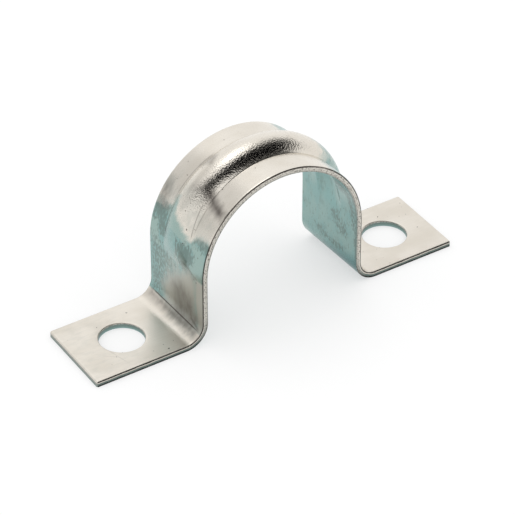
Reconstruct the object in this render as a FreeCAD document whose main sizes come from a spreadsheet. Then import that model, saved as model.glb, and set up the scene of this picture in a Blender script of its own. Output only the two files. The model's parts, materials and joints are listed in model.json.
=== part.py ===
import FreeCAD, Part
import math
import os

import Sketcher
from FreeCAD import Placement, Rotation, Vector

# Two-hole conduit strap, pressed and folded from one strip of sheet steel.
# The strip lies along X and its width along Y. It stands on the plane Z = 0,
# and the origin lies midway between the two fixing holes, under the crown.

# Driving sizes, in millimetres and degrees: alias, value, what it measures
SIZES = (
    ("strip_width", 19.0, "width of the strip"),
    ("sheet", 1.2, "thickness of the sheet"),
    ("seat_radius", 17.5, "radius of the arch where the conduit seats"),
    ("seat_height", 14.9, "height of the arch's centre above the wall"),
    ("bend_radius", 3.7, "radius of the foot bend on its hollow side"),
    ("left_foot", 19.9, "flat length of the left foot"),
    ("right_foot", 19.0, "flat length of the right foot"),
    ("end_skew", 2.0, "angle by which both ends are cut out of square"),
    ("corner_radius", 0.4, "radius of the strip's four corners"),
    ("hole_diameter", 9.2, "diameter of the fixing holes"),
    ("hole_setback", 8.9, "from the end of the foot bend to the hole's centre"),
    ("bead_height", 2.15, "height of the bead at the crown"),
    ("bead_width", 8.8, "width of the bead between its two feet"),
    ("bead_crease", 0.4, "radius of the hollow at the bead's feet"),
    ("bead_offset", 0.2, "distance of the bead from the strip's middle"),
    ("bead_reach", 92.0, "angle from the crown at which the bead has run out"),
    ("bead_fade", 4.0, "power of the bead's run-out, higher is more sudden"),
    ("edge_roll", 0.25, "radius of the rolled edges on the outer side"),
)
VALUE = {alias: value for alias, value, _ in SIZES}

# The foot bends end and the flat feet begin this far from the middle
BEND_END = VALUE["seat_radius"] + VALUE["sheet"] + VALUE["bend_radius"]
BEND_END_FORMULA = "Sizes.seat_radius + Sizes.sheet + Sizes.bend_radius"

# The bead's cross-sections lie at these shares of its reach, crown to run-out
BEAD_SHARES = (0.0, 0.25, 0.5, 0.7, 0.85, 1.0)
# How far the bead's surfaces sink under the arch's own where the bead has run out
SINK = 0.02
# Waste left beyond both feet until the ends are cut
WASTE = 2.0
# Tolerance for finding edges by their place
NEAR = 1e-4

doc = FreeCAD.newDocument("conduit_strap")
sheet = doc.addObject("Spreadsheet::Sheet", "Sizes")
for row, (alias, value, meaning) in enumerate(SIZES, start=1):
    sheet.set(f"A{row}", meaning)
    sheet.set(f"B{row}", str(value))
    sheet.setAlias(f"B{row}", alias)
doc.recompute()

body = doc.addObject("PartDesign::Body", "strap")
body.Label = "strap"
body.Placement = Placement()


def plane(role):
    """The body's own origin plane with this role."""
    return next(feature for feature in body.Origin.OriginFeatures if feature.Role == role)


def new_sketch(name, role):
    """An empty sketch on one of the body's origin planes."""
    sketch = body.newObject("Sketcher::SketchObject", name)
    sketch.AttachmentSupport = [(plane(role), "")]
    sketch.MapMode = "FlatFace"
    return sketch


def line(sketch, start, end):
    """Add a line and return its index."""
    return sketch.addGeometry(Part.LineSegment(Vector(*start, 0), Vector(*end, 0)), False)


def arc(sketch, centre, radius, first, last):
    """Add an arc that runs anticlockwise between two angles in degrees."""
    circle = Part.Circle(Vector(*centre, 0), Vector(0, 0, 1), radius)
    return sketch.addGeometry(Part.ArcOfCircle(circle, math.radians(first), math.radians(last)), False)


def bind(sketch, name, constraint, expression):
    """Add a dimension and tie it to the sheet."""
    index = sketch.addConstraint(constraint)
    sketch.renameConstraint(index, name)
    sketch.setExpression(f"Constraints.{name}", expression)


def join(sketch, kind, first, first_point, second, second_point):
    """Join two ends: Coincident, or Tangent for a smooth joint."""
    sketch.addConstraint(Sketcher.Constraint(kind, first, first_point, second, second_point))


# Ends of a line or an arc, the centre of an arc, and the sketch's own axes. Its origin
# is the start of its X axis.
START, END, CENTRE = range(1, 4)
AXIS_X, AXIS_Y = range(-1, -3, -1)
ORIGIN = AXIS_X


def draw_outline():
    """Side outline of the folded strip: feet, foot bends, legs and arch."""
    sketch = new_sketch("outline", "XZ_Plane")
    inner = VALUE["seat_radius"]
    outer = inner + VALUE["sheet"]
    height = VALUE["seat_height"]
    bend = VALUE["bend_radius"]
    rise = VALUE["sheet"] + bend
    arch_out = arc(sketch, (0, height), outer, 0, 180)
    arch_in = arc(sketch, (0, height), inner, 0, 180)
    join(sketch, "Coincident", arch_out, CENTRE, arch_in, CENTRE)
    sketch.addConstraint(Sketcher.Constraint("PointOnObject", arch_out, CENTRE, AXIS_Y))
    bind(sketch, "seat", Sketcher.Constraint("Radius", arch_in, inner), "Sizes.seat_radius")
    bind(sketch, "back", Sketcher.Constraint("Radius", arch_out, outer), "Sizes.seat_radius + Sizes.sheet")
    bind(sketch, "height", Sketcher.Constraint("DistanceY", ORIGIN, START, arch_out, CENTRE, height),
         "Sizes.seat_height")
    for name, side in (("left", -1), ("right", 1)):
        centre = (side * BEND_END, rise)
        tip = side * (BEND_END + VALUE[f"{name}_foot"] + WASTE)
        quarter = (-90, 0) if side < 0 else (180, 270)
        leg_out = line(sketch, (side * outer, height), (side * outer, rise))
        leg_in = line(sketch, (side * inner, height), (side * inner, rise))
        bend_out = arc(sketch, centre, bend, *quarter)
        bend_in = arc(sketch, centre, bend + VALUE["sheet"], *quarter)
        top = line(sketch, (centre[0], VALUE["sheet"]), (tip, VALUE["sheet"]))
        base = line(sketch, (centre[0], 0), (tip, 0))
        end = line(sketch, (tip, 0), (tip, VALUE["sheet"]))
        arch_end = END if side < 0 else START
        leg_end, foot_end = (END, START) if side < 0 else (START, END)
        for arch, leg, fold, flat in ((arch_out, leg_out, bend_out, top), (arch_in, leg_in, bend_in, base)):
            join(sketch, "Tangent", arch, arch_end, leg, START)
            join(sketch, "Tangent", leg, END, fold, leg_end)
            join(sketch, "Tangent", fold, foot_end, flat, START)
            sketch.addConstraint(Sketcher.Constraint("Horizontal", flat))
        join(sketch, "Coincident", bend_out, CENTRE, bend_in, CENTRE)
        join(sketch, "Coincident", base, END, end, START)
        join(sketch, "Coincident", top, END, end, END)
        sketch.addConstraint(Sketcher.Constraint("Vertical", end))
        sketch.addConstraint(Sketcher.Constraint("PointOnObject", base, END, AXIS_X))
        for leg in (leg_out, leg_in):
            sketch.addConstraint(Sketcher.Constraint("Vertical", leg))
        bind(sketch, f"{name}_bend", Sketcher.Constraint("Radius", bend_out, bend), "Sizes.bend_radius")
        ends = (base, START, base, END) if side > 0 else (base, END, base, START)
        bind(sketch, f"{name}_foot", Sketcher.Constraint("DistanceX", *ends, abs(tip - centre[0])),
             f"Sizes.{name}_foot + {WASTE}")
    return sketch


def draw_trim():
    """Plan of the waste cut off beyond both feet, along lines slightly out of square."""
    sketch = new_sketch("trim", "XY_Plane")
    slope = math.tan(math.radians(VALUE["end_skew"]))
    half = VALUE["strip_width"] / 2 + WASTE
    for name, side in (("left", -1), ("right", 1)):
        place = side * (BEND_END + VALUE[f"{name}_foot"])
        far = place + side * 2 * WASTE
        cut = line(sketch, (place - slope * half, -half), (place + slope * half, half))
        back = line(sketch, (place + slope * half, half), (far, half))
        edge = line(sketch, (far, half), (far, -half))
        front = line(sketch, (far, -half), (place - slope * half, -half))
        loop = (cut, back, edge, front)
        for first, second in zip(loop, loop[1:] + loop[:1]):
            join(sketch, "Coincident", first, END, second, START)
        for flat in (back, front):
            sketch.addConstraint(Sketcher.Constraint("Horizontal", flat))
        sketch.addConstraint(Sketcher.Constraint("Symmetric", edge, START, edge, END, AXIS_X))
        bind(sketch, f"{name}_width", Sketcher.Constraint("DistanceY", edge, END, edge, START, 2 * half),
             f"Sizes.strip_width + {2 * WASTE}")
        middle = sketch.addGeometry(Part.Point(Vector(place, 0, 0)), True)
        sketch.addConstraint(Sketcher.Constraint("PointOnObject", middle, START, AXIS_X))
        sketch.addConstraint(Sketcher.Constraint("PointOnObject", middle, START, cut))
        ends = (middle, START, ORIGIN, START) if side < 0 else (ORIGIN, START, middle, START)
        bind(sketch, f"{name}_end", Sketcher.Constraint("DistanceX", *ends, abs(place)),
             f"{BEND_END_FORMULA} + Sizes.{name}_foot")
        ends = (edge, START, middle, START) if side < 0 else (middle, START, edge, START)
        sketch.addConstraint(Sketcher.Constraint("DistanceX", *ends, 2 * WASTE))
        bind(sketch, f"{name}_skew", Sketcher.Constraint("Angle", cut, math.radians(90 - VALUE["end_skew"])),
             "90deg - Sizes.end_skew * 1deg")
    return sketch


def draw_holes():
    """Plan of the two fixing holes, one in the middle of each foot's width."""
    sketch = new_sketch("holes", "XY_Plane")
    place = BEND_END + VALUE["hole_setback"]
    radius = VALUE["hole_diameter"] / 2
    for name, side in (("left", -1), ("right", 1)):
        hole = sketch.addGeometry(Part.Circle(Vector(side * place, 0, 0), Vector(0, 0, 1), radius), False)
        sketch.addConstraint(Sketcher.Constraint("PointOnObject", hole, CENTRE, AXIS_X))
        ends = (hole, CENTRE, ORIGIN, START) if side < 0 else (ORIGIN, START, hole, CENTRE)
        bind(sketch, f"{name}_place", Sketcher.Constraint("DistanceX", *ends, place),
             f"{BEND_END_FORMULA} + Sizes.hole_setback")
        bind(sketch, f"{name}_bore", Sketcher.Constraint("Radius", hole, radius), "Sizes.hole_diameter / 2")
    return sketch


def draw_bead_section(name, share, inside):
    """One cross-section of the bead, in the plane through the arch's axis at this share of its reach.

    The section is a dome between two hollows, all arcs, on straight sides that sink into the sheet.
    Its height falls from the crown to the run-out as 1 - share ** bead_fade. The inside section
    follows the outside one at the sheet's thickness.
    """
    sketch = new_sketch(name, "YZ_Plane")
    turn = Rotation(Vector(1, 0, 0), share * VALUE["bead_reach"])
    sketch.AttachmentOffset = Placement(Vector(0, VALUE["seat_height"], 0), turn)
    sketch.setExpression(".AttachmentOffset.Base.y", "Sizes.seat_height")
    if share:
        sketch.setExpression(".AttachmentOffset.Rotation.Angle", f"{share} * Sizes.bead_reach * 1deg")
    thickness = VALUE["sheet"]
    face = VALUE["seat_radius"] + (0 if inside else thickness)
    crease = VALUE["bead_crease"] + (thickness if inside else 0)
    depth = thickness if inside else thickness / 2
    rise = SINK + (VALUE["bead_height"] + SINK) * (1 - abs(share) ** VALUE["bead_fade"])
    half = VALUE["bead_width"] / 2
    middle = VALUE["bead_offset"]
    foot = face - 2 * SINK
    dome = (half ** 2 + rise ** 2) / (2 * rise) - crease
    lean = math.degrees(math.asin(half / (dome + crease)))
    top = arc(sketch, (middle, foot + rise - dome), dome, 90 - lean, 90 + lean)
    right = arc(sketch, (middle + half, foot + crease), crease, 270 - lean, 270)
    left = arc(sketch, (middle - half, foot + crease), crease, 270, 270 + lean)
    side_left = line(sketch, (middle - half, foot), (middle - half, foot - depth))
    base = line(sketch, (middle - half, foot - depth), (middle + half, foot - depth))
    side_right = line(sketch, (middle + half, foot - depth), (middle + half, foot))
    join(sketch, "Tangent", right, START, top, START)
    join(sketch, "Tangent", top, END, left, END)
    join(sketch, "Coincident", left, START, side_left, START)
    join(sketch, "Coincident", side_left, END, base, START)
    join(sketch, "Coincident", base, END, side_right, START)
    join(sketch, "Coincident", side_right, END, right, END)
    sketch.addConstraint(Sketcher.Constraint("Horizontal", base))
    sketch.addConstraint(Sketcher.Constraint("Horizontal", left, START, right, END))
    for side, hollow in ((side_left, left), (side_right, right)):
        sketch.addConstraint(Sketcher.Constraint("Vertical", side))
        sketch.addConstraint(Sketcher.Constraint("PointOnObject", hollow, CENTRE, side))
    bind(sketch, "crease", Sketcher.Constraint("Radius", left, crease),
         "Sizes.bead_crease" + (" + Sizes.sheet" if inside else ""))
    sketch.addConstraint(Sketcher.Constraint("Equal", left, right))
    bind(sketch, "width", Sketcher.Constraint("DistanceX", base, START, base, END, 2 * half),
         "Sizes.bead_width")
    bind(sketch, "offset", Sketcher.Constraint("DistanceX", ORIGIN, START, top, CENTRE, middle),
         "Sizes.bead_offset")
    face_formula = "Sizes.seat_radius" + ("" if inside else " + Sizes.sheet")
    depth_formula = "Sizes.sheet" if inside else "Sizes.sheet / 2"
    bind(sketch, "foot", Sketcher.Constraint("DistanceY", ORIGIN, START, left, START, foot),
         f"{face_formula} - {2 * SINK}")
    bind(sketch, "depth", Sketcher.Constraint("DistanceY", base, START, left, START, depth), depth_formula)
    crown = sketch.addGeometry(Part.Point(Vector(middle, foot + rise, 0)), True)
    sketch.addConstraint(Sketcher.Constraint("PointOnObject", crown, START, top))
    sketch.addConstraint(Sketcher.Constraint("Vertical", crown, START, top, CENTRE))
    bind(sketch, "rise", Sketcher.Constraint("DistanceY", left, START, crown, START, rise),
         f"{SINK} + (Sizes.bead_height + {SINK}) * (1 - {abs(share)}^Sizes.bead_fade)")
    return sketch


def add_bead(kind, name, inside):
    """Loft the bead through its cross-sections, from one run-out over the crown to the other."""
    shares = [-share for share in reversed(BEAD_SHARES[1:])] + list(BEAD_SHARES)
    sections = [draw_bead_section(f"{name}_section_{index}", share, inside)
                for index, share in enumerate(shares)]
    loft = body.newObject(kind, name)
    loft.Profile = sections[0]
    loft.Sections = sections[1:]
    doc.recompute()
    return loft


def edge_names(feature, wanted):
    """Names of the edges whose middle point passes a test."""
    names = []
    for index, edge in enumerate(feature.Shape.Edges, start=1):
        middle = edge.valueAt((edge.FirstParameter + edge.LastParameter) / 2)
        if wanted(middle, edge):
            names.append(f"Edge{index}")
    return names


def at_corner(point, edge):
    """True for the four upright edges at the strip's corners."""
    upright = len(edge.Vertexes) == 2 and abs(edge.Vertexes[0].Z - edge.Vertexes[1].Z) > NEAR
    along_side = abs(abs(point.y) - VALUE["strip_width"] / 2) < NEAR
    return upright and along_side and abs(point.x) > BEND_END + NEAR


def on_outer_side(point, edge):
    """True for edges round the strip and its holes on the side that faces away from the wall."""
    outer = VALUE["seat_radius"] + VALUE["sheet"]
    bend = VALUE["bend_radius"]
    x = abs(point.x)
    along_side = abs(abs(point.y) - VALUE["strip_width"] / 2) < NEAR
    if x > BEND_END + NEAR:
        return abs(point.z - VALUE["sheet"]) < NEAR
    if not along_side:
        return False
    if x > outer + NEAR:
        centre = (BEND_END, VALUE["sheet"] + bend)
        return abs(math.dist((x, point.z), centre) - bend) < NEAR
    if point.z < VALUE["seat_height"]:
        return abs(x - outer) < NEAR
    return abs(math.dist((x, point.z), (0, VALUE["seat_height"])) - outer) < NEAR


# The folded strip, as wide as the strip stock
folded = body.newObject("PartDesign::Pad", "folded_strip")
folded.Profile = draw_outline()
folded.SideType = "Symmetric"
folded.setExpression("Length", "Sizes.strip_width")
doc.recompute()

# The bead is pressed outwards: its outside is added, then its inside is taken away
add_bead("PartDesign::AdditiveLoft", "bead_outside", inside=False)
add_bead("PartDesign::SubtractiveLoft", "bead_inside", inside=True)

# The strip is cut to length, a little out of square
trim = body.newObject("PartDesign::Pocket", "end_cuts")
trim.Profile = draw_trim()
trim.SideType = "Symmetric"
trim.Type = "ThroughAll"
doc.recompute()

# Both fixing holes are punched right through the feet
holes = body.newObject("PartDesign::Pocket", "fixing_holes")
holes.Profile = draw_holes()
holes.SideType = "Symmetric"
holes.Type = "ThroughAll"
doc.recompute()

# The corners of the feet are barely rounded
corners = body.newObject("PartDesign::Fillet", "foot_corners")
corners.Base = (holes, edge_names(holes, at_corner))
corners.setExpression("Radius", "Sizes.corner_radius")
doc.recompute()

# Shearing and punching roll the edges over on the outer side
rolled = body.newObject("PartDesign::Fillet", "rolled_edges")
rolled.Base = (corners, edge_names(corners, on_outer_side))
rolled.setExpression("Radius", "Sizes.edge_roll")
body.Tip = rolled
doc.recompute()

# Nothing is written if any feature failed or a cut took nothing away
for feature in doc.Objects:
    if {"Invalid", "Error"} & set(feature.State):
        raise RuntimeError(f"{feature.Name} failed: {feature.State}")
steps = [feature for feature in body.Group if feature.isDerivedFrom("PartDesign::Feature")]
for before, after in zip(steps, steps[1:]):
    if abs(before.Shape.Volume - after.Shape.Volume) < NEAR:
        raise RuntimeError(f"{after.Name} changes nothing")
strap = body.Shape
if strap.isNull() or not strap.isValid() or len(strap.Solids) != 1:
    raise RuntimeError("the strap is not one valid solid")

os.makedirs("parts", exist_ok=True)
strap.exportStep("parts/strap.step")
box = strap.BoundBox
print(f"strap: {strap.Volume:.1f} mm3, {box.XMin:.2f} to {box.XMax:.2f}, "
      f"{box.YMin:.2f} to {box.YMax:.2f}, {box.ZMin:.2f} to {box.ZMax:.2f}")
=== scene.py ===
import json
import math

import bmesh
import bpy
import numpy as np
from bpy.props import FloatProperty, FloatVectorProperty
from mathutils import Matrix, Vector


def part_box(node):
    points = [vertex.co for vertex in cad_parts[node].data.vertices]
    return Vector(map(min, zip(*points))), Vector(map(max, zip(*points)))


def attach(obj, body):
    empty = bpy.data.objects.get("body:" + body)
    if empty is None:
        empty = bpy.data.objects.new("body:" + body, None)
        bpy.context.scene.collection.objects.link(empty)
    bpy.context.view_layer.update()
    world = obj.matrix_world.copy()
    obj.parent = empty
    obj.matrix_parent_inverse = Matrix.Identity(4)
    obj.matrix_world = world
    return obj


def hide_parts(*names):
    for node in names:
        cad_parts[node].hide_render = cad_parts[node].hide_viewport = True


# The conduit strap's looks: one strip of zinc-plated sheet steel, folded into a saddle.
# The strip is worked out flat, as along, across and lift, and is then folded.

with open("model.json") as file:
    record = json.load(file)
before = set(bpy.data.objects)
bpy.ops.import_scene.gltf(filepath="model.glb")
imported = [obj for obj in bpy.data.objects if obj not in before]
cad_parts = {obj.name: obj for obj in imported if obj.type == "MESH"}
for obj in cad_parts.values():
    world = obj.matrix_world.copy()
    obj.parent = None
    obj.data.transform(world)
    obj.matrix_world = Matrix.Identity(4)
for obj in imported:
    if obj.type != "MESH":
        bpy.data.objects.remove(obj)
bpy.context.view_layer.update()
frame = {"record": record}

bl_info = {
    "name": "Conduit strap",
    "version": (1, 0, 0),
    "blender": (4, 5, 0),
    "location": "3D View > Sidebar > Strap",
    "description": "Makes a zinc-plated conduit strap and a plain studio for it",
    "category": "Object",
}

MM = 0.001
LOW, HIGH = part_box("strap")
MOUNTS = {mount["name"]: mount for mount in frame["record"]["mounts"]}
SEAT = MOUNTS["conduit_seat"]
SEAT_RADIUS = SEAT["dims"]["r_mm"] * MM
HOLES = MOUNTS["fixing_holes"]["dims"]
SHEET = 1.2 * MM
BEND = 3.7 * MM
BEND_END = SEAT_RADIUS + SHEET + BEND
# points of two grids closer than this are one
JOIN = 1e-6
# faces that meet at a greater angle than this keep a sharp edge
SHARP = math.radians(35)
# a hair's breadth, between a crease and the flat beside it
HAIR = 0.03 * MM
# stretches of the strip, from the crown, over which the roll-over's painted reflection and the cut edges
# turn black, with painted shadow low down, and the plate gets scuffed
ROLLOVER_DARKENS = (38 * MM, 44 * MM)
EDGES_DARKEN = (37 * MM, 43 * MM)
SCUFF_GROWS = (34 * MM, 46 * MM)
# height of the zinc's grain
GRAIN_DEPTH = 0.025 * MM
# the cut ends and the hole walls lie this far along in the UV map, clear of the strip
END_PLACE = 0.5
HOLE_PLACE = 1
# how much of the painted dark line beside the cut edges, a painted reflection, the holes' rims have
HOLE_RIM_REFLECTION = 0.28
# points along each stretch of the strip's grids
ARCH_POINTS = 81
LEG_POINTS = 26
BEND_POINTS = 25
DOME_POINTS = 20
CREASE_POINTS = 5
BACK_BAND_POINTS = 14
FRONT_BAND_POINTS = 15
ROLL_POINTS = 5
WALL_POINTS = 6
SIDE_POINTS = 40
END_POINTS = 38
CORNER_POINTS = 7
RINGS = 13
# points along and across each card
CARD_POINTS = (97, 25)
# from the floor's middle to its sides, in metres
FLOOR_REACH = 3
PICTURE_PX = 515
SENSOR_MM = 36


def linear(code):
    """A colour's linear red, green and blue from its sRGB hex code."""
    parts = [int(code[place:place + 2], 16) / 255 for place in (1, 3, 5)]
    return tuple(part / 12.92 if part <= 0.04045 else ((part + 0.055) / 1.055) ** 2.4 for part in parts)


def length(name, default, description):
    """A length that a user may change, in metres."""
    return FloatProperty(name=name, default=default, description=description, unit="LENGTH", precision=5)


def angle(name, default, description):
    """An angle that a user may change, given in degrees."""
    return FloatProperty(name=name, default=math.radians(default), description=description, subtype="ANGLE")


def colour(name, code, description):
    """A colour that a user may change, from its hex code."""
    return FloatVectorProperty(name=name, default=(*linear(code), 1), description=description,
                               subtype="COLOR", size=4, min=0, max=1)


class StrapSizes(bpy.types.PropertyGroup):
    """The strap's sizes"""
    strip_width: length("Strip width", HIGH.y - LOW.y, "Width of the strip")
    sheet: length("Sheet", SHEET, "Thickness of the sheet")
    seat_radius: length("Seat radius", SEAT_RADIUS, "Inner radius of the arch")
    seat_height: length("Seat height", SEAT["pos_m"][2], "Height of the arch's centre above the wall")
    bend_radius: length("Bend radius", BEND, "Radius of the foot bends on their hollow side")
    left_foot: length("Left foot", 19.9 * MM, "Flat length of the left foot")
    right_foot: length("Right foot", 19.0 * MM, "Flat length of the right foot")
    end_skew: angle("End skew", 2, "Angle by which both ends are cut out of square")
    corner_radius: length("Corner radius", 0.4 * MM, "Radius of the strip's corners")
    hole_radius: length("Hole radius", HOLES["hole_r_mm"] * MM, "Radius of the fixing holes")
    hole_setback: length("Hole setback", HOLES["spacing_x_mm"] / 2 * MM - BEND_END,
                         "Distance from the foot bend's end to the hole's centre")
    bead_height: length("Bead height", HIGH.z - SEAT["pos_m"][2] - SEAT_RADIUS - SHEET,
                        "Height of the bead at the crown")
    bead_width: length("Bead width", 8.8 * MM, "Width of the bead between its two feet")
    bead_crease: length("Bead crease", 0.4 * MM, "Radius of the hollow at the bead's feet")
    bead_offset: length("Bead offset", 0.2 * MM, "Distance of the bead from the strip's middle")
    bead_sink: length("Bead sink", 0.02 * MM, "Depth of the bead under the arch where it has run out")
    bead_reach: angle("Bead reach", 92, "Angle from the crown at which the bead has run out")
    bead_fade: FloatProperty(name="Bead fade", default=4,
                             description="Power of the bead's run-out: higher is more sudden")
    edge_roll: length("Edge roll", 0.25 * MM, "Radius of the rolled edges on the outer side")


class StrapFinish(bpy.types.PropertyGroup):
    """The colours of the strap's finish"""
    bright: colour("Bright zinc", "#EBE5DB", "Bare bright zinc on the worn faces")
    dull: colour("Dull zinc", "#DED7CB", "Zinc where it has dulled")
    # the film colours also paint a reflection of blue-green surroundings on the upright faces
    film: colour("Film", "#8AABA8", "Blue-green passive film on the upright faces")
    film_pale: colour("Pale film", "#98AFA9", "The film where it is thin and even")
    film_dark: colour("Dark film", "#768A85", "The film where it is thick and stained")
    # the rub colour also paints shade, and the mirrored foot low on the left leg
    rub: colour("Rub", "#BEBFB7", "Grey-brown rubbed zinc low on the legs")
    burnish: colour("Burnish", "#D6D0C6", "Burnished steel on the cut edges")
    tear: colour("Tear", "#A3A29B", "Torn steel on the cut edges, dull and grainy")
    # the roll-over colour is a painted reflection, a dark line along the rolled edges
    rollover_reflection: colour("Roll-over", "#3C3531", "Stained roll-over beside the cut edges")
    # painted shadow: the feet's cut edges black towards the floor
    under: colour("Underside of the edges", "#1F2321", "Black lower part of the feet's cut edges")
    # painted shade low inside the right leg
    deep: colour("Deep film", "#567E80", "The film where it is thickest, low inside the legs")
    # the smudge colour also paints shade on the arch and the left leg, and a dark reflection across the
    # front band
    smudge: colour("Smudge", "#514A46", "Soot-grey smudges and fine scratches")


class StrapStage(bpy.types.PropertyGroup):
    """The camera, the floor and the light"""
    azimuth: angle("Azimuth", -33.65, "The camera's bearing round the strap, from the front")
    elevation: angle("Elevation", 35.77, "The camera's height above the floor")
    distance: length("Distance", 571.07 * MM,
                     "From the camera to the strap's origin along the line of sight")
    focal_px: FloatProperty(name="Focal length", default=2869.25,
                            description="Focal length, in pixels of the square picture")
    origin_px: FloatVectorProperty(name="Origin in the picture", default=(256.27, 289.28), size=2,
                                   description="Where the strap's origin falls in the picture, in pixels")
    floor: colour("Floor", "#DCDCDC", "Plain pale floor, as it lights the strap")
    floor_seen: colour("Floor as seen", "#FFFFFF", "Plain pale floor, as it is seen and mirrored")
    floor_glow: FloatProperty(name="Floor glow", default=0.55, min=0, max=1, subtype="FACTOR",
                              description="Share by which the seen floor is plain white, without shadow")
    card: colour("Cards", "#0C0C0E", "Black cards that the strap mirrors")
    lamp_size: length("Lamp size", 0.42, "Side of the soft lamp overhead")
    lamp_height: length("Lamp height", 0.76, "Height of the soft lamp")
    lamp_back: length("Lamp setback", 0.27, "How far behind the strap the soft lamp hangs")
    lamp_power: FloatProperty(name="Lamp power", default=0.47, unit="POWER",
                              description="Power of the soft lamp overhead")
    card_distance: length("Card distance", 0.7, "Distance of the black cards from the strap")


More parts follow.
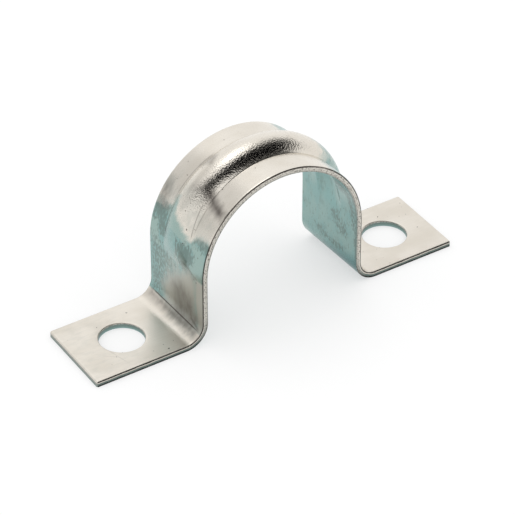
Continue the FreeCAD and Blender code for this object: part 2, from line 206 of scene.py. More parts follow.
# Marks on the sheet: layer, side (1 outer, -1 wall side), strength, softness of their borders in
# millimetres, and outline on the flat strip as along and across in millimetres. Along is 0 at the
# crown and negative on the left, and across is negative in front.
MARKS = (
    # film and a painted reflection of blue-green surroundings on the left leg: its front band and the end
    # of the bead
    ("film", 1, 1, 1.8,
     ((-19.5, 6.0), (-19.2, 4.6), (-17.0, 4.4), (-16.4, 2.3), (-18.1, 1.3), (-19.4, 1.0),
      (-20.1, -0.4), (-20.5, -1.5), (-21.3, -2.3), (-21.9, -3.1), (-22.4, -4.0), (-21.8, -4.8),
      (-20.8, -5.4), (-20.2, -7.3), (-20.1, -10.5), (-40.8, -10.5), (-40.8, -2.2), (-40.6, 1.3),
      (-40.6, 6.0))),
    # its back band, where the film's upper border is soft
    ("film", 1, 1, 3.0,
     ((-20.2, 12.5), (-19.8, 7.2), (-19.2, 5.2), (-20.5, 1.0), (-36.0, 1.0), (-36.0, 12.5))),
    # the same band down to the foot bend, where the border is sharp
    ("film", 1, 1, 1.0,
     ((-25.0, 12.5), (-25.0, 1.0), (-40.7, 1.0), (-40.7, 12.5))),
    # film and painted reflection on the right leg, thinner
    ("film", 1, 0.76, 3.6,
     ((9.6, 10.5), (9.4, 4.0), (13.5, -1.3), (13.9, -2.9), (11.0, -7.4), (11.6, -10.5),
      (40.8, -10.5), (40.8, 10.5))),
    # film and painted reflection all over the wall side
    ("film", -1, 1, 0.5,
     ((-80.0, -20.0), (80.0, -20.0), (80.0, 20.0), (-80.0, 20.0))),
    # pale patches on the left leg: on the back band
    ("pale", 1, 1, 0.5,
     ((-24.0, 9.6), (-22.9, 7.2), (-26.2, 6.4), (-28.9, 5.5), (-28.8, 8.3), (-26.6, 9.4))),
    # round the end of the bead
    ("pale", 1, 1, 0.4,
     ((-17.0, 4.6), (-16.6, 2.2), (-18.1, 1.2), (-19.4, 0.9), (-20.1, -0.5), (-20.5, -1.6),
      (-21.3, -2.4), (-22.1, -3.3), (-23.7, -3.4), (-23.0, -1.9), (-22.4, -0.5), (-22.4, 2.4),
      (-21.3, 4.6), (-19.6, 4.6))),
    # on the front band
    ("pale", 1, 1, 0.5,
     ((-22.4, -5.2), (-22.7, -7.8), (-23.0, -9.1), (-25.5, -9.7), (-29.2, -9.7), (-29.2, -6.9),
      (-28.0, -4.6), (-27.0, -4.8), (-26.1, -6.0), (-24.3, -5.8), (-23.3, -4.5))),
    # stains on the left leg: on the back band
    ("stain", 1, 0.85, 1.6,
     ((-20.3, 9.9), (-19.7, 7.5), (-19.0, 5.6), (-21.5, 4.7), (-25.0, 3.8), (-26.3, 6.1),
      (-23.5, 7.1), (-23.8, 9.4))),
    # below the end of the bead
    ("stain", 1, 0.95, 1.6,
     ((-23.8, -1.2), (-23.6, -2.3), (-23.8, -4.2), (-24.5, -5.7), (-26.2, -5.8), (-27.2, -4.8),
      (-28.0, -4.9), (-29.4, -7.0), (-30.2, -5.5), (-29.4, -3.2), (-28.4, -1.4), (-26.5, -1.4))),
    # beside the front edge
    ("stain", 1, 0.8, 1.4,
     ((-20.9, -4.8), (-20.2, -7.3), (-20.2, -10.0), (-22.3, -10.0), (-22.7, -7.8), (-22.0, -5.7),
      (-22.4, -4.3))),
    # thin ones, down to the foot bend
    ("stain", 1, 0.55, 2.5,
     ((-27.0, 8.6), (-29.0, 2.0), (-31.0, -1.0), (-36.0, 2.0), (-41.0, 7.0), (-41.0, 8.8))),
    # grey-brown low on the left leg: a painted reflection of the foot and its shade, on rubbed zinc
    ("rub", 1, 0.9, 3.4,
     ((-37.2, 5.0), (-33.6, 3.2), (-30.6, -1.0), (-28.4, -4.3), (-29.5, -7.4), (-33.9, -7.2),
      (-35.4, -6.9), (-37.3, -7.4), (-38.2, -7.8), (-42.6, -8.0), (-42.6, 0.5), (-41.4, 3.2))),
    # more of it, thin, above that
    ("rub", 1, 0.5, 5.0,
     ((-26.5, -1.0), (-29.0, 1.6), (-32.5, 4.0), (-36.0, 4.6), (-37.0, 3.0), (-37.0, -7.5),
      (-33.0, -7.5), (-30.0, -3.6))),
    # a strip of it along the front edge
    ("rub", 1, 1, 0.8,
     ((-29.0, -7.4), (-34.0, -7.1), (-38.0, -7.6), (-41.2, -8.0), (-41.2, -10.5), (-29.0, -10.5))),
    # painted shade on that, darker towards the foot
    ("smudge", 1, 0.5, 4.0,
     ((-34.0, 1.6), (-32.0, -1.6), (-33.6, -5.6), (-35.6, -7.0), (-37.3, -7.9), (-38.2, -8.8),
      (-43.0, -8.8), (-43.0, 0.6), (-38.0, 1.6))),
    # painted shade, darker and duller zinc, on the bead's left flank and the band before it
    ("rub", 1, 0.42, 3.0,
     ((-12.6, 4.2), (-16.5, 4.2), (-18.2, 1.2), (-20.4, -0.8), (-22.6, -3.6), (-21.4, -6.5),
      (-20.4, -9.5), (-16.5, -9.5), (-15.2, -4.6), (-13.0, -1.0))),
    # painted shade on the back band above the film
    ("rub", 1, 0.6, 4.5,
     ((-13.6, 11.5), (-14.4, 6.6), (-16.0, 4.9), (-17.8, 4.2), (-19.3, 5.2), (-19.5, 11.5))),
    # painted shade along the left foot bend, dimming its bright reflection
    ("smudge", 1, 0.5, 2.0,
     ((-40.6, 8.6), (-40.6, -9.2), (-42.7, -8.3), (-42.9, -3.6), (-42.8, 0.8), (-42.4, 5.4),
      (-42.0, 8.2))),
    # dulled zinc on the outer part of the left foot
    ("rub", 1, 0.2, 4.0,
     ((-51.0, 9.6), (-66.0, 9.6), (-66.0, -9.6), (-54.0, -9.6))),
    # on the arch: painted shade above the film on the back band
    ("smudge", 1, 0.46, 3.0,
     ((-15.4, 10.0), (-15.8, 7.4), (-17.2, 6.2), (-20.0, 5.6), (-21.4, 6.6), (-21.2, 10.0))),
    # painted shade on the bead's back flank
    ("smudge", 1, 0.5, 1.4,
     ((-6.7, 4.8), (-6.8, 1.7), (-8.8, 0.3), (-9.4, 0.9), (-10.6, 3.6), (-10.4, 4.7), (-8.7, 5.0))),
    # a smudge on the bead's left part
    ("smudge", 1, 0.36, 1.8,
     ((-12.3, 0.7), (-12.0, -1.3), (-12.6, -2.6), (-13.8, -2.2), (-14.4, -0.4), (-14.6, 1.3),
      (-13.4, 1.5))),
    # a painted reflection: a dark hook from the bead across the front band
    ("smudge", 1, 0.72, 2.2,
     ((-11.0, -1.5), (-13.0, -1.2), (-13.5, -2.2), (-14.3, -3.3), (-15.0, -4.4), (-15.5, -6.7),
      (-15.6, -9.0), (-13.5, -9.0), (-13.0, -6.9), (-12.6, -4.7), (-11.8, -3.5), (-10.9, -2.7))),
    # painted shade low inside the right leg, under the arch
    ("deep", -1, 0.75, 3.2,
     ((37.4, -10.5), (38.4, -3.0), (40.5, 4.0), (41.5, 10.5), (60.0, 10.5), (60.0, -10.5))),
    # stains inside the right leg: low down
    ("stain", -1, 0.6, 0.9,
     ((36.4, 5.2), (36.6, 2.0), (37.4, -0.6), (36.8, -3.0), (37.2, -5.8), (38.2, -5.0),
      (38.3, -1.0), (37.8, 3.4))),
    # beside its front edge
    ("stain", -1, 0.66, 0.9,
     ((20.0, -3.4), (18.6, -5.8), (20.5, -8.4), (25.0, -8.6), (31.0, -8.8), (30.9, -7.9),
      (26.2, -7.1), (22.8, -6.4), (22.5, -3.6))),
    # in its middle
    ("stain", -1, 0.55, 0.9,
     ((30.4, 0.0), (29.4, -1.9), (28.8, -3.8), (30.2, -2.9), (31.8, -4.4), (30.4, -6.1),
      (31.9, -5.6), (34.0, -6.2), (34.4, -4.2), (32.4, -1.9))),
    # a line along its front edge
    ("stain", -1, 1.2, 0.4,
     ((15.0, -8.9), (44.0, -8.9), (44.0, -10.0), (15.0, -10.0))),
)
# the film layer also paints a reflection; the rub and smudge layers also paint shade, and the deep layer is
# painted shade
LAYERS = ("film", "pale", "stain", "rub", "smudge", "deep")

# Scratches on the sheet: both ends on the flat strip and width, in millimetres, and depth of colour
SCRATCHES = (
    ((-23.2, 4.2), (-24.9, 3.8), 0.14, 0.8),
    ((-22.8, -0.85), (-27.3, -0.9), 0.12, 0.55),
    ((-14.9, -3.3), (-22.0, -3.9), 0.1, 0.4),
    ((-15.0, -4.25), (-20.6, -4.3), 0.1, 0.35),
    ((-40.6, 8.0), (-40.85, -8.6), 0.2, 0.85),
    ((-6.6, 4.7), (-17.5, 4.8), 0.12, 0.35),
    ((-58.5, -1.6), (-57.3, -7.2), 0.1, 0.15),
    ((-60.2, -3.0), (-57.5, -5.3), 0.1, 0.12),
    ((-27.5, -2.6), (-29.0, -7.9), 0.3, 0.3),
    ((-39.3, -5.2), (-40.6, -8.6), 0.4, 0.4),
)

# Black cards that the strap mirrors: places on their rim, each a bearing from the front and the
# low and high line there, in degrees, then the shares of the card over which it fades out at its
# ends, its low side and its high side, and how much it covers
CARDS = {
    # the dark band along the front of the bead
    "front_card": (
        ((-112, 44, 60), (-94, 43, 76), (-78, 43, 90), (-55, 43, 98), (-31, 43, 99), (-12, 40, 99),
         (3, 35, 99), (12, 32, 99), (26, 28, 99), (38, 25, 99), (50, 21, 99), (60, 23, 99),
         (75, 26, 96), (93, 28, 92), (108, 32, 90), (124, 39, 90), (136, 46, 88)),
        (0.16, 0.09, 0.14), 1),
    # the darker left shoulder of the arch
    "side_card": (
        ((-28, 14, 32), (-35, 18, 36), (-43, 24, 41), (-59, 35, 51), (-75, 39, 55), (-90, 38, 55),
         (-105, 32, 49), (-120, 26, 41), (-130, 23, 37)),
        (0.1, 0.16, 0.2), 0.9),
    # the grey of the left leg and foot
    "grey_card": (
        ((-180, -8, 66), (-150, -8, 66), (-110, -8, 50)),
        (0.35, 0.35, 0.35), 0.26),
}


def bead_lift(sizes, turn, across, inside):
    """How far the bead stands out of the arch, at an angle from the crown and a place across.

    Its height is sink + (height + sink) * (1 - |turn / reach| ** fade), over feet that lie two
    sinks under the arch. Its section is a round dome between two round hollows. The inside
    follows the outside at the sheet's thickness, so its hollows are larger by that.
    """
    sink = sizes.bead_sink
    crease = sizes.bead_crease + (sizes.sheet if inside else 0)
    share = np.minimum(np.abs(turn) / sizes.bead_reach, 1)
    rise = sink + (sizes.bead_height + sink) * (1 - share ** sizes.bead_fade)
    half = sizes.bead_width / 2
    away = np.minimum(np.abs(across - sizes.bead_offset), half)
    dome = (half ** 2 + rise ** 2) / (2 * rise) - crease
    meets = half * dome / (dome + crease)
    top = rise - dome + np.sqrt(np.maximum(dome ** 2 - away ** 2, 0))
    hollow = crease - np.sqrt(np.maximum(crease ** 2 - (half - away) ** 2, 0))
    return np.maximum(np.where(away < meets, top, hollow) - 2 * sink, 0)


def stations(sizes):
    """Where, along the middle of the sheet, the arch, the leg and the foot bend end."""
    middle = sizes.sheet / 2
    arch = (sizes.seat_radius + middle) * math.pi / 2
    leg = arch + sizes.seat_height - sizes.sheet - sizes.bend_radius
    return arch, leg, leg + (sizes.bend_radius + middle) * math.pi / 2


def fold(sizes, along, across, lift):
    """Fold points of the flat strip.

    Along runs from the crown to both sides: round the arch by an angle, straight down a leg,
    round a foot bend by an angle the other way, and straight out along a foot. A point stands
    off the sheet's wall side by its lift, square to the sheet.
    """
    middle = sizes.sheet / 2
    arch, leg, bend = stations(sizes)
    curve = sizes.bend_radius + sizes.sheet
    end = sizes.seat_radius + curve
    way = np.sign(along)
    far = np.abs(along)
    turn = far / (sizes.seat_radius + middle)
    tilt = (far - leg) / (sizes.bend_radius + middle)
    parts = [far <= arch, far <= leg, far <= bend]
    x = np.select(parts, [(sizes.seat_radius + lift) * np.sin(turn), sizes.seat_radius + lift,
                          end - (curve - lift) * np.cos(tilt)], end + far - bend)
    z = np.select(parts, [sizes.seat_height + (sizes.seat_radius + lift) * np.cos(turn),
                          sizes.seat_height - (far - arch),
                          curve - (curve - lift) * np.sin(tilt)], lift)
    return np.stack([way * x, across, z], axis=-1)


def roll(sizes):
    """Insets from a rolled edge and the drops there: a quarter of a circle, flat to upright."""
    turn = np.linspace(0, math.pi / 2, ROLL_POINTS)
    return sizes.edge_roll * (1 - np.sin(turn)), sizes.edge_roll * (1 - np.cos(turn))


def columns(sizes):
    """Places across the strip between its rolled edges, closest together in the bead's creases.

    A crease runs from where the bead's outer hollow cuts the arch to where it meets the dome at
    the crown. The arch stays flat up to a hair's breadth of it, so that it is crisp.
    """
    edge = sizes.strip_width / 2 - sizes.edge_roll
    half = sizes.bead_width / 2
    sunk = sizes.bead_crease - 2 * sizes.bead_sink
    crisp = half - math.sqrt(sizes.bead_crease ** 2 - sunk ** 2)
    whole = (half ** 2 + sizes.bead_height ** 2) / (2 * sizes.bead_height)
    meets = half * (1 - sizes.bead_crease / whole)
    side = np.concatenate([np.linspace(0, meets, DOME_POINTS),
                           np.linspace(meets, crisp, CREASE_POINTS)[1:]])
    bead = np.concatenate([-side[:0:-1], side]) + sizes.bead_offset
    return np.concatenate([np.linspace(-edge, bead[0] - HAIR, FRONT_BAND_POINTS), bead,
                           np.linspace(bead[-1] + HAIR, edge, BACK_BAND_POINTS)])


def grid(along, across, lift, outer=True, cut=False, places=None, bead=0, rolled=0):
    """One grid of points on the flat strip, its side of the sheet and its places in the UV map.

    Bead and rolled say how far a point is up the bead and round a rolled edge, from 0 to 1.
    """
    along, across, lift, bead, rolled = np.broadcast_arrays(along, across, lift, bead, rolled)
    places = np.broadcast_arrays(along, *(places or (along, across)))[1:]
    return {"along": along, "across": across, "lift": lift, "outer": outer, "cut": cut,
            "places": places, "bead": bead, "rolled": rolled}


def middle_grids(sizes):
    """The strip from one foot bend's end to the other: both sides of the sheet and its two edges."""
    arch, leg, bend = stations(sizes)
    half = np.concatenate([np.linspace(0, arch, ARCH_POINTS), np.linspace(arch, leg, LEG_POINTS)[1:],
                           np.linspace(leg, bend, BEND_POINTS)[1:]])
    along = np.concatenate([-half[:0:-1], half])[:, None]
    inset, drop = roll(sizes)
    width = sizes.strip_width / 2
    across = np.concatenate([(inset - width)[:0:-1], columns(sizes), (width - inset)[1:]])
    drops = np.concatenate([drop[:0:-1], 0 * columns(sizes), drop[1:]])
    turn = along / (sizes.seat_radius + sizes.sheet / 2)
    wall = np.linspace(0, sizes.sheet - sizes.edge_roll, WALL_POINTS)
    bead = bead_lift(sizes, turn, across, False)
    return [grid(along, across, sizes.sheet - drops + bead, bead=bead / sizes.bead_height,
                 rolled=drops / sizes.edge_roll),
            grid(along, across, bead_lift(sizes, turn, across, True), outer=False),
            grid(along, -width, wall, cut=True, places=(along, wall)),
            grid(along, width, wall, cut=True, places=(along, wall))]


def outline(sizes, end, inset):
    """A foot's outline at an inset: out along one side, round the end and back, open at the bend."""
    width = sizes.strip_width / 2
    corner = sizes.corner_radius
    turn = np.linspace(0, math.pi / 2, CORNER_POINTS)
    side = np.linspace(0, end - corner, SIDE_POINTS)
    tip = np.linspace(width - corner, corner - width, END_POINTS)[1:-1]
    reach = corner - inset
    out = np.concatenate([side, end - corner + reach * np.sin(turn[1:]), 0 * tip + end - inset,
                          end - corner + reach * np.cos(turn), side[-2::-1]])
    over = np.concatenate([0 * side + width - inset, width - corner + reach * np.cos(turn[1:]), tip,
                           corner - width - reach * np.sin(turn), 0 * side[1:] - width + inset])
    return out, over


def foot_grids(sizes, way, end):
    """One foot: rings from its hole to a rim, a band round three sides, and its upright walls.

    The rings blend from the hole's circle to the rim in straight lines. The end is sheared by
    the skew, growing smoothly from beyond the hole.
    """
    bend = stations(sizes)[2]
    inset, drop = roll(sizes)
    centre = sizes.hole_setback
    past_hole = centre + sizes.hole_radius + sizes.edge_roll
    out, over = outline(sizes, end, sizes.edge_roll)
    joint = columns(sizes)[1:-1]
    out = np.concatenate([out, 0 * joint, out[:1]])
    over = np.concatenate([over, joint, over[:1]])
    turn = np.unwrap(np.arctan2(over, out - centre))
    radius = sizes.hole_radius + inset[::-1, None]
    ring_out, ring_over = centre + radius * np.cos(turn), radius * np.sin(turn)
    share = np.linspace(0, 1, RINGS)[1:, None]
    ring_out = np.concatenate([ring_out, ring_out[-1] + share * (out - ring_out[-1])])
    ring_over = np.concatenate([ring_over, ring_over[-1] + share * (over - ring_over[-1])])
    ring_drop = np.concatenate([drop[::-1], 0 * share[:, 0]])[:, None]
    band_out, band_over = np.stack([outline(sizes, end, step) for step in inset], axis=1)
    wall = np.linspace(0, sizes.sheet - sizes.edge_roll, WALL_POINTS)[:, None]
    steps = np.hypot(np.diff(band_out[-1], prepend=0),
                     np.diff(band_over[-1], prepend=band_over[-1][0]))
    run = np.cumsum(steps)
    at_end = band_out[-1] > end - sizes.corner_radius / 2

    def placed(out, over, lift, **looks):
        """A grid of this foot, with its end sheared by the skew."""
        grown = np.clip((out - past_hole) / (end - sizes.corner_radius - past_hole), 0, 1)
        shear = way * over * math.tan(sizes.end_skew) * grown ** 2 * (3 - 2 * grown)
        return grid(way * (bend + out + shear), over, lift, **looks)

    return [placed(ring_out, ring_over, sizes.sheet - ring_drop,
                   rolled=HOLE_RIM_REFLECTION * ring_drop / sizes.edge_roll),
            placed(ring_out, ring_over, 0, outer=False),
            placed(band_out, band_over, sizes.sheet - drop[:, None],
                   rolled=np.where(at_end, 0, drop[:, None] / sizes.edge_roll)),
            placed(band_out, band_over, 0, outer=False),
            placed(band_out[-1], band_over[-1], wall, cut=True,
                   places=(np.where(at_end, END_PLACE, bend) + run, wall)),
            placed(ring_out[0], ring_over[0], wall, cut=True,
                   places=(HOLE_PLACE + turn * sizes.hole_radius, wall))]


def depth_inside(points, shape):
    """Signed distance from points to a closed outline, positive inside it.

    The distance is the least one to the outline's edges. A point is inside when a line from it
    crosses the edges an odd number of times.
    """
    start = np.array(shape, float)
    end = np.roll(start, -1, axis=0)
    edge = end - start
    gap = points[..., None, :] - start
    share = np.clip((gap * edge).sum(-1) / (edge ** 2).sum(-1), 0, 1)
    least = np.linalg.norm(gap - share[..., None] * edge, axis=-1).min(-1)
    spans = (start[:, 1] > points[..., None, 1]) != (end[:, 1] > points[..., None, 1])
    rise = np.where(edge[:, 1] == 0, 1, edge[:, 1])
    meets = start[:, 0] + gap[..., 1] * edge[:, 0] / rise
    crossed = (spans & (points[..., None, 0] < meets)).sum(-1) % 2 == 1
    return np.where(crossed, least, -least)


def layer_weight(part, layer):
    """How strongly a layer's marks cover a grid's points, from 0 to 1.

    A mark's weight is its strength where a point lies deeper inside the outline than half the
    border's softness, nothing where it lies further outside, and runs in a line between. The
    strongest mark counts.
    """
    points = np.stack([part["along"], part["across"]], axis=-1) / MM
    weight = np.zeros(part["along"].size)
    for name, side, strength, soft, shape in MARKS:
        if name == layer and (side > 0) == part["outer"]:
            depth = depth_inside(points, shape).ravel()
            weight = np.maximum(weight, strength * np.clip(depth / soft + 0.5, 0, 1))
    return weight


def strip_mesh(name, sizes, parts):
    """One closed mesh from the strip's grids, folded, with the flat places kept as its UV map."""
    faces, count = [], 0
    for part in parts:
        rows, spans = part["along"].shape
        index = count + np.arange(rows * spans).reshape(rows, spans)
        corners = np.stack([index[:-1, :-1], index[1:, :-1], index[1:, 1:], index[:-1, 1:]], axis=-1)
        faces.append(corners.reshape(-1, 4))
        count += rows * spans
    points = [fold(sizes, part["along"], part["across"], part["lift"]).reshape(-1, 3) for part in parts]
    places = [np.stack(part["places"], axis=-1).reshape(-1, 2) for part in parts]
    cut = [np.full(len(some), part["cut"]) for some, part in zip(faces, parts)]
    faces = np.concatenate(faces)
    mesh = bpy.data.meshes.new(name)
    mesh.from_pydata(np.concatenate(points), [], faces)
    uv_map = mesh.uv_layers.new(name="strip")
    uv_map.data.foreach_set("uv", np.concatenate(places)[faces.ravel()].astype(np.float32).ravel())
    weights = {layer: np.concatenate([layer_weight(part, layer) for part in parts]) for layer in LAYERS}
    for looks in ("bead", "rolled"):
        weights[looks] = np.concatenate([part[looks].ravel() for part in parts])
    for layer, weight in weights.items():
        values = mesh.attributes.new(layer, "FLOAT", "POINT").data
        values.foreach_set("value", weight.astype(np.float32))
    mesh.polygons.foreach_set("material_index", np.concatenate(cut).astype(np.int32))
    mesh.polygons.foreach_set("use_smooth", np.ones(len(faces), bool))
    merged = bmesh.new()
    merged.from_mesh(mesh)
    bmesh.ops.remove_doubles(merged, verts=merged.verts, dist=JOIN)
    bmesh.ops.recalc_face_normals(merged, faces=merged.faces)
    open_edges = sum(len(edge.link_faces) != 2 for edge in merged.edges)
    merged.to_mesh(mesh)
    merged.free()
    if open_edges:
        raise RuntimeError(f"the strap's mesh has {open_edges} open edges")
    mesh.set_sharp_from_angle(angle=SHARP)
    return mesh


def add(tree, kind, output=None, inputs=None, **settings):
    """Add a node with its settings, fill its inputs with values or links, and return an output."""
    made = tree.nodes.new("ShaderNode" + kind)
    for name, value in settings.items():
        setattr(made, name, value)
    for name, value in (inputs or {}).items():
        if isinstance(value, bpy.types.NodeSocket):
            tree.links.new(value, made.inputs[name])
        else:
            made.inputs[name].default_value = value
    return made.outputs[output] if output else None


def new_material(name):
    """An empty material and its node tree."""
    made = bpy.data.materials.new(name)
    made.use_nodes = True
    made.node_tree.nodes.clear()
    return made, made.node_tree


def mottle(tree, along, across, low, high, detail=3):
    """A mottled pattern on the flat strip, from 0 to 1.

    Its patches are so many millimetres long and wide. Noise values up to low give 0, those
    from high on give 1, and the rest run smoothly between.
    """
    places = add(tree, "UVMap", "UV", uv_map="strip")
    scaled = add(tree, "Mapping", "Vector",
                 {"Vector": places, "Scale": (1 / (along * MM), 1 / (across * MM), 1)})
    patches = add(tree, "TexNoise", "Fac", {"Vector": scaled, "Scale": 1, "Detail": detail})
    return add(tree, "MapRange", "Result", {"Value": patches, "From Min": low, "From Max": high},
               interpolation_type="SMOOTHSTEP")


def marked(tree, name, broken, much, low=0.2, high=0.8):
    """How much a layer of marks covers, its borders broken up by a pattern.

    The pattern adds up to half of much where it is 1 and takes up to half of it where it is 0,
    and only where there are marks at all.
    """
    weight = add(tree, "Attribute", "Fac", attribute_name=name)
    there = add(tree, "Math", "Value", {0: weight, 1: 0.001}, operation="GREATER_THAN")
    swing = add(tree, "Math", "Value", {0: broken, 1: much, 2: -much / 2}, operation="MULTIPLY_ADD")
    total = add(tree, "Math", "Value", {0: there, 1: swing, 2: weight}, operation="MULTIPLY_ADD")
    return add(tree, "MapRange", "Result", {"Value": total, "From Min": low, "From Max": high},
               interpolation_type="SMOOTHSTEP")


def scratch(tree, start, end, wide):
    """A straight fine line on the flat strip, between two places in millimetres.

    The strip's places are turned and scaled so that the line runs from -1 to 1 and is 1 wide on
    each side. It is full to half its width and to most of its length, and runs out beyond.
    """
    run = np.subtract(end, start)
    middle = np.add(start, end) / 2 * MM
    places = add(tree, "UVMap", "UV", uv_map="strip")
    placed = add(tree, "Mapping", "Vector",
                 {"Vector": places, "Location": (*middle, 0),
                  "Rotation": (0, 0, math.atan2(run[1], run[0])),
                  "Scale": (math.hypot(*run) / 2 * MM, wide * MM, 1)}, vector_type="TEXTURE")
    off = add(tree, "VectorMath", "Vector", {0: placed}, operation="ABSOLUTE")
    apart = add(tree, "SeparateXYZ", "X", {"Vector": off}).node.outputs
    far = add(tree, "MapRange", "Result",
              {"Value": apart["X"], "From Min": 0.8, "From Max": 1.05, "To Min": 1, "To Max": 0})
    return add(tree, "MapRange", "Result",
               {"Value": apart["Y"], "From Min": 0.5, "From Max": 1, "To Min": far, "To Max": 0})


def strip_places(tree):
    """The places up or across the strip in its UV map, and how far from the crown they lie."""
    places = add(tree, "UVMap", "UV", uv_map="strip")
    apart = add(tree, "SeparateXYZ", "X", {"Vector": places}).node.outputs
    return apart["Y"], add(tree, "Math", "Value", {0: apart["X"]}, operation="ABSOLUTE")


def layered(tree, base, layers):
    """Shades laid on a base colour one after another, each with its cover and a share of that."""
    for cover, much, shade in layers:
        cover = add(tree, "Math", "Value", {0: cover, 1: much}, operation="MULTIPLY")
        base = add(tree, "Mix", "Result", {"Factor": cover, "A": base, "B": shade}, data_type="RGBA")
    return base


def zinc_plate(finish):
    """Bright zinc plate with a blue-green passive film.

    Electroplated on rolled strip and then passivated: it gives a soft mirror, faint streaks
    along the rolling direction, and a film that wears off where the strip is handled. The film's
    colour on the upright faces is also a painted reflection of blue-green surroundings, and
    painted shade and reflections lie on the arch and the left leg: dark patches, a dark hook
    across the front band and a dark line on the roll-over beside the cut edges.
    """
    made, tree = new_material("zinc_plate")
    far = strip_places(tree)[1]
    # cloudy patches of the bath, 9 mm long, and of the film, 3 to 6 mm
    cloud = mottle(tree, 9, 7, 0.38, 0.64)
    thin = mottle(tree, 6.2, 3.4, 0.4, 0.62)
    thick = mottle(tree, 2.9, 2, 0.52, 0.72, detail=4)
    # rolling marks are a few hundredths of a millimetre wide: drawn 0.3 mm wide so that they show
    streak = mottle(tree, 8.3, 0.3, 0.3, 0.7)
    # zinc grains are too fine to show as well: drawn 0.3 mm across, a pixel and a half
    grain = mottle(tree, 0.3, 0.3, 0.25, 0.75, detail=1)
    # and so are the pits between them: drawn 0.2 mm across
    pits = mottle(tree, 0.22, 0.22, 0.5, 0.72, detail=1)
    # the film's borders are ragged to a millimetre, and its dried stains to half of one
    ragged = mottle(tree, 1.1, 1.1, 0.2, 0.8)
    dry = mottle(tree, 0.9, 0.45, 0.3, 0.7, detail=4)
    # flecks of thick film are a millimetre long, and dark specks three quarters of one
    flecks = mottle(tree, 1.3, 0.5, 0.6, 0.68, detail=2)
    specks = mottle(tree, 0.75, 0.75, 0.74, 0.79, detail=1)
    # handling wears the plate in patches, 2 mm long, and the same patches break up the painted shade
    worn = mottle(tree, 2.4, 1.1, 0.3, 0.7, detail=5)
    # rubbed zinc, which is also painted shade and a painted reflection of the foot low on the left leg
    rubbed_and_shaded = marked(tree, "rub", worn, 0.22, 0, 1)
    # the film's colours, which also paint a reflection of blue-green surroundings, and painted shade low
    # inside the right leg
    film = layered(tree, finish.film, (
        (thin, 0.55, finish.film_pale), (thick, 0.4, finish.film_dark), (flecks, 0.5, finish.film_dark),
        (marked(tree, "pale", ragged, 0.9), 1, finish.film_pale),
        (marked(tree, "stain", dry, 0.9, 0.1, 0.8), 1, finish.film_dark),
        (marked(tree, "deep", 0.5, 0, 0, 1), 1, finish.deep)))
    lines = specks
    for start, end, wide, depth in SCRATCHES:
        line = add(tree, "Math", "Value", {0: scratch(tree, start, end, wide), 1: depth},
                   operation="MULTIPLY")
        lines = add(tree, "Math", "Value", {0: lines, 1: line}, operation="MAXIMUM")
    # the roll-over beside the cut edges gets a painted reflection, a dark line, which turns black on the
    # feet
    rolled = add(tree, "Attribute", "Fac", attribute_name="rolled")
    edge = add(tree, "MapRange", "Result", {"Value": rolled, "From Min": 0.05, "From Max": 0.3})
    low = add(tree, "MapRange", "Result",
              {"Value": far, "From Min": ROLLOVER_DARKENS[0], "From Max": ROLLOVER_DARKENS[1]})
    rim = add(tree, "Mix", "Result", {"Factor": low, "A": finish.rollover_reflection, "B": finish.under},
              data_type="RGBA")
    # smudges are partly painted shade, and one is a painted reflection of a dark strip across the front
    # band
    base = layered(tree, finish.bright, (
        (cloud, 0.7, finish.dull), (streak, 0.25, finish.dull),
        (marked(tree, "film", ragged, 0.35, 0.1, 0.9), 1, film), (rubbed_and_shaded, 1, finish.rub),
        (marked(tree, "smudge", worn, 0.14, 0.06, 1), 1, finish.smudge),
        (lines, 1, finish.smudge), (edge, 0.92, rim)))
    # pressing stretches the sheet over the bead, which opens its grain there
    bead = add(tree, "Attribute", "Fac", attribute_name="bead")
    open_grain = add(tree, "MapRange", "Result",
                     {"Value": bead, "From Min": 0.02, "From Max": 0.4, "To Min": 0.25, "To Max": 1})
    bump = add(tree, "Bump", "Normal", {"Height": grain, "Distance": GRAIN_DEPTH, "Strength": open_grain})
    # handling has scuffed the rubbed places and the feet, which mirror less clearly, as pits do; the places
    # of painted shade in the rub mask get this roughness too
    scuffed = add(tree, "MapRange", "Result",
                  {"Value": far, "From Min": SCUFF_GROWS[0], "From Max": SCUFF_GROWS[1],
                   "To Min": 0.2, "To Max": 0.36})
    rough = add(tree, "Math", "Value", {0: rubbed_and_shaded, 1: 0.2, 2: scuffed}, operation="MULTIPLY_ADD")
    pits = add(tree, "Math", "Value", {0: pits, 1: open_grain}, operation="MULTIPLY")
    rough = add(tree, "Math", "Value", {0: pits, 1: 0.12, 2: rough}, operation="MULTIPLY_ADD")
    shader = add(tree, "BsdfPrincipled", "BSDF",
                 {"Base Color": base, "Metallic": 1, "Roughness": rough, "Normal": bump})
    add(tree, "OutputMaterial", inputs={"Surface": shader})
    return made


def bands(tree, height, stops):
    """Bands of colour up a cut edge, from stops of height in millimetres and colour."""
    share = add(tree, "Math", "Value", {0: height, 1: 1 / SHEET}, operation="MULTIPLY")
    coloured = add(tree, "ValToRGB", "Color", {"Fac": share})
    ramp = coloured.node.color_ramp.elements
    ramp.remove(ramp[1])
    ramp[0].position = stops[0][0] * MM / SHEET
    ramp[0].color = stops[0][1]
    for place, shade in stops[1:]:
        ramp.new(place * MM / SHEET).color = shade
    return coloured


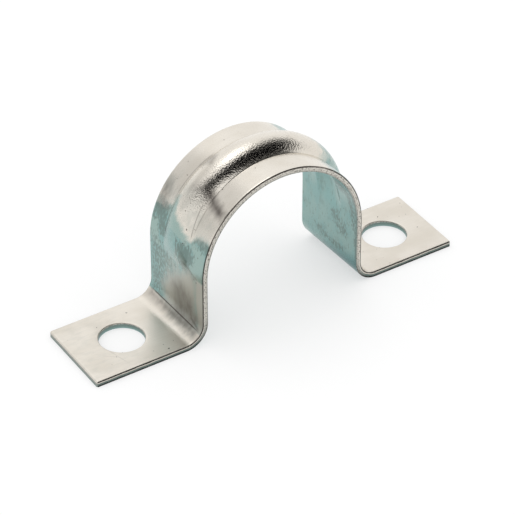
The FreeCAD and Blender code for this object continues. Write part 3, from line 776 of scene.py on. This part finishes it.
def sheared_edge(finish):
    """Steel where the strip was sheared and punched, thinly plated.

    A shear leaves bands along the edge: a roll-over on one side, a bright burnished band and a
    dull torn one. The roll-over carries a painted reflection, a dark line. Low on the legs and
    along the feet the edges get darker, black at the bottom: painted shadow by the floor.
    """
    made, tree = new_material("sheared_edge")
    up, far = strip_places(tree)
    # torn steel and its pits are a tenth of a millimetre across: drawn three times as coarse
    torn = mottle(tree, 0.35, 0.25, 0.35, 0.7)
    pits = mottle(tree, 0.3, 0.3, 0.55, 0.65, detail=1)
    # the bands wander by a sixth of a millimetre every 2 mm
    wander = mottle(tree, 2, 1.1, 0, 1)
    height = add(tree, "Math", "Value", {0: wander, 1: 0.16 * MM, 2: up}, operation="MULTIPLY_ADD")
    # the arch's edge, with the painted reflection, a dark line, on the roll-over at its top
    arch = bands(tree, height, ((0.02, finish.film_dark), (0.14, finish.tear), (0.3, finish.tear),
                                (0.42, finish.burnish), (0.62, finish.burnish), (0.7, finish.tear),
                                (0.8, finish.bright), (0.92, finish.bright), (1.0, finish.rollover_reflection)))
    # the feet's edge: black at the bottom and at the roll-over, painted shadow by the floor and painted
    # reflection
    foot = bands(tree, height, ((0.3, finish.under), (0.68, finish.film_dark), (0.74, finish.under),
                                (0.84, finish.burnish), (0.96, finish.burnish), (1.04, finish.under)))
    ends = bands(tree, height, ((0.2, finish.film_dark), (0.9, finish.tear)))
    hole = bands(tree, height, ((0.2, finish.film), (0.6, finish.film_dark)))
    low = add(tree, "MapRange", "Result",
              {"Value": far, "From Min": EDGES_DARKEN[0], "From Max": EDGES_DARKEN[1]})
    sheared = add(tree, "Math", "Value", {0: far, 1: END_PLACE / 2}, operation="GREATER_THAN")
    punched = add(tree, "Math", "Value", {0: far, 1: (END_PLACE + HOLE_PLACE) / 2},
                  operation="GREATER_THAN")
    base = layered(tree, arch, (
        (torn, 0.5, finish.rub), (pits, 0.85, finish.smudge), (low, 1, foot), (sheared, 1, ends),
        (punched, 1, hole), (torn, 0.15, finish.tear)))
    bump = add(tree, "Bump", "Normal", {"Height": torn, "Distance": GRAIN_DEPTH, "Strength": 1})
    shader = add(tree, "BsdfPrincipled", "BSDF",
                 {"Base Color": base, "Metallic": 1, "Roughness": 0.38, "Normal": bump})
    add(tree, "OutputMaterial", inputs={"Surface": shader})
    return made


def show(name, mesh):
    """A new object at the origin that shows a mesh."""
    made = bpy.data.objects.new(name, mesh)
    bpy.context.scene.collection.objects.link(made)
    return made


class MakeStrap(bpy.types.Operator):
    """Make the strap from its flat strip and give it its finish"""
    bl_idname = "strap.make_strap"
    bl_label = "Make the strap"

    def execute(self, context):
        sizes = context.scene.strap_sizes
        finish = context.scene.strap_finish
        parts = middle_grids(sizes)
        parts += foot_grids(sizes, -1, sizes.left_foot)
        parts += foot_grids(sizes, 1, sizes.right_foot)
        strap = show("plated_strap", strip_mesh("plated_strap", sizes, parts))
        strap.data.materials.append(zinc_plate(finish))
        strap.data.materials.append(sheared_edge(finish))
        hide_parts("strap")
        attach(strap, "root")
        return {"FINISHED"}


def floor_material(stage):
    """Matt white paint on board: plain and pale, and white to the camera and in mirrors.

    For those rays it also glows a little, so that the strap's shadow on it stays light.
    """
    made, tree = new_material("matt_floor")
    ray = add(tree, "LightPath", "Is Camera Ray").node.outputs
    seen = ray["Is Camera Ray"]
    for kind in ("Is Glossy Ray", "Is Transmission Ray"):
        seen = add(tree, "Math", "Value", {0: seen, 1: ray[kind]}, operation="MAXIMUM")
    base = add(tree, "Mix", "Result", {"Factor": seen, "A": stage.floor, "B": stage.floor_seen},
               data_type="RGBA")
    matt = add(tree, "BsdfDiffuse", "BSDF", {"Color": base})
    glow = add(tree, "Emission", "Emission", {"Color": stage.floor_seen})
    share = add(tree, "Math", "Value", {0: seen, 1: stage.floor_glow}, operation="MULTIPLY")
    shader = add(tree, "MixShader", "Shader", {0: share, 1: matt, 2: glow})
    add(tree, "OutputMaterial", inputs={"Surface": shader})
    return made


def card(name, stage, rim, fade, cover):
    """A black card, bent round the strap, that only mirrors on the strap see.

    It lies on a sphere round the strap, between a low and a high line that run in straight
    pieces from bearing to bearing. Its cover fades out over a share of its length at both ends,
    and over one share of its width at its low side and another at its high side.
    """
    bearings, lows, highs = np.transpose(rim)
    across, upward = np.meshgrid(*(np.linspace(0, 1, points) for points in CARD_POINTS))
    bearing = bearings[0] + across * (bearings[-1] - bearings[0])
    low, high = [np.interp(np.abs(bearing - bearings[0]), np.abs(bearings - bearings[0]), line)
                 for line in (lows, highs)]
    height = np.radians(low + upward * (high - low))
    bearing = np.radians(bearing)
    points = stage.card_distance * np.stack([np.sin(bearing) * np.cos(height),
                                             -np.cos(bearing) * np.cos(height), np.sin(height)], axis=-1)
    index = np.arange(across.size).reshape(across.shape)
    faces = np.stack([index[:-1, :-1], index[:-1, 1:], index[1:, 1:], index[1:, :-1]], axis=-1)
    mesh = bpy.data.meshes.new(name)
    mesh.from_pydata(points.reshape(-1, 3), [], faces.reshape(-1, 4))
    places = np.stack([across, upward], axis=-1).reshape(-1, 2)[faces.ravel()]
    mesh.uv_layers.new(name="card").data.foreach_set("uv", places.astype(np.float32).ravel())
    made, tree = new_material(name)
    places = add(tree, "UVMap", "UV", uv_map="card")
    apart = add(tree, "SeparateXYZ", "X", {"Vector": places}).node.outputs
    ends, under, over = fade
    for axis, edge, full in (("X", 0, ends), ("X", 1, 1 - ends), ("Y", 0, under), ("Y", 1, 1 - over)):
        cover = add(tree, "MapRange", "Result",
                    {"Value": apart[axis], "From Min": edge, "From Max": full, "To Min": 0,
                     "To Max": cover}, interpolation_type="SMOOTHSTEP")
    black = add(tree, "Emission", "Emission", {"Color": stage.card})
    clear = add(tree, "BsdfTransparent", "BSDF")
    both = add(tree, "MixShader", "Shader", {0: cover, 1: clear, 2: black})
    add(tree, "OutputMaterial", inputs={"Surface": both})
    mesh.materials.append(made)
    made = show(name, mesh)
    for ray in ("camera", "diffuse", "transmission", "volume_scatter", "shadow"):
        setattr(made, f"visible_{ray}", False)


class MakeStage(bpy.types.Operator):
    """Make the floor, the light and the camera"""
    bl_idname = "strap.make_stage"
    bl_label = "Make the stage"

    def execute(self, context):
        stage = context.scene.strap_stage
        scene = context.scene
        mesh = bpy.data.meshes.new("floor")
        corners = np.array([(-1, -1, 0), (1, -1, 0), (1, 1, 0), (-1, 1, 0)]) * FLOOR_REACH
        mesh.from_pydata(corners, [], [(0, 1, 2, 3)])
        floor = show("floor", mesh)
        floor.data.materials.append(floor_material(stage))
        lamp = bpy.data.lights.new("soft_lamp", "AREA")
        lamp.shape = "SQUARE"
        lamp.size = stage.lamp_size
        lamp.energy = stage.lamp_power
        placed = show("soft_lamp", lamp)
        placed.location = (0, stage.lamp_back, stage.lamp_height)
        placed.rotation_euler = placed.location.to_track_quat("Z", "Y").to_euler()
        world = bpy.data.worlds.new("studio")
        world.use_nodes = True
        world.node_tree.nodes["Background"].inputs["Color"].default_value = (1, 1, 1, 1)
        world.node_tree.nodes["Background"].inputs["Strength"].default_value = 1
        scene.world = world
        scene.view_settings.view_transform = "Standard"
        for name, (rim, fade, cover) in CARDS.items():
            card(name, stage, rim, fade, cover)
        place_camera(scene, stage)
        return {"FINISHED"}


def place_camera(scene, stage):
    """Put the camera where the strap's origin falls on its pixel of the picture.

    The line of sight comes from the azimuth and the elevation. The origin lies off that line
    by its pixel's distance from the picture's middle, times distance over focal length.
    """
    back = Vector((math.sin(stage.azimuth) * math.cos(stage.elevation),
                   -math.cos(stage.azimuth) * math.cos(stage.elevation), math.sin(stage.elevation)))
    right = (-back).cross(Vector((0, 0, 1))).normalized()
    up = right.cross(-back)
    metres = stage.distance / stage.focal_px
    middle = PICTURE_PX / 2
    aside = (stage.origin_px[0] - middle) * metres
    above = (middle - stage.origin_px[1]) * metres
    lens = bpy.data.cameras.new("camera")
    lens.sensor_width = SENSOR_MM
    lens.lens = stage.focal_px / PICTURE_PX * SENSOR_MM
    camera = show("camera", lens)
    camera.location = back * stage.distance - right * aside - up * above
    camera.rotation_euler = back.to_track_quat("Z", "Y").to_euler()
    scene.camera = camera


class StrapPanel(bpy.types.Panel):
    """The strap's sizes, colours and buttons"""
    bl_idname = "VIEW3D_PT_strap"
    bl_label = "Conduit strap"
    bl_space_type = "VIEW_3D"
    bl_region_type = "UI"
    bl_category = "Strap"

    def draw(self, context):
        for group in (context.scene.strap_sizes, context.scene.strap_finish, context.scene.strap_stage):
            box = self.layout.box()
            for name in group.__annotations__:
                box.prop(group, name)
        self.layout.operator(MakeStrap.bl_idname)
        self.layout.operator(MakeStage.bl_idname)


CLASSES = (StrapSizes, StrapFinish, StrapStage, MakeStrap, MakeStage, StrapPanel)
GROUPS = {"strap_sizes": StrapSizes, "strap_finish": StrapFinish, "strap_stage": StrapStage}


def register():
    for made in CLASSES:
        bpy.utils.register_class(made)
    for name, group in GROUPS.items():
        setattr(bpy.types.Scene, name, bpy.props.PointerProperty(type=group))


def unregister():
    for name in GROUPS:
        delattr(bpy.types.Scene, name)
    for made in reversed(CLASSES):
        bpy.utils.unregister_class(made)


def main():
    """Make the strap and its stage."""
    register()
    bpy.ops.strap.make_strap()
    bpy.ops.strap.make_stage()


if __name__ == "__main__":
    main()
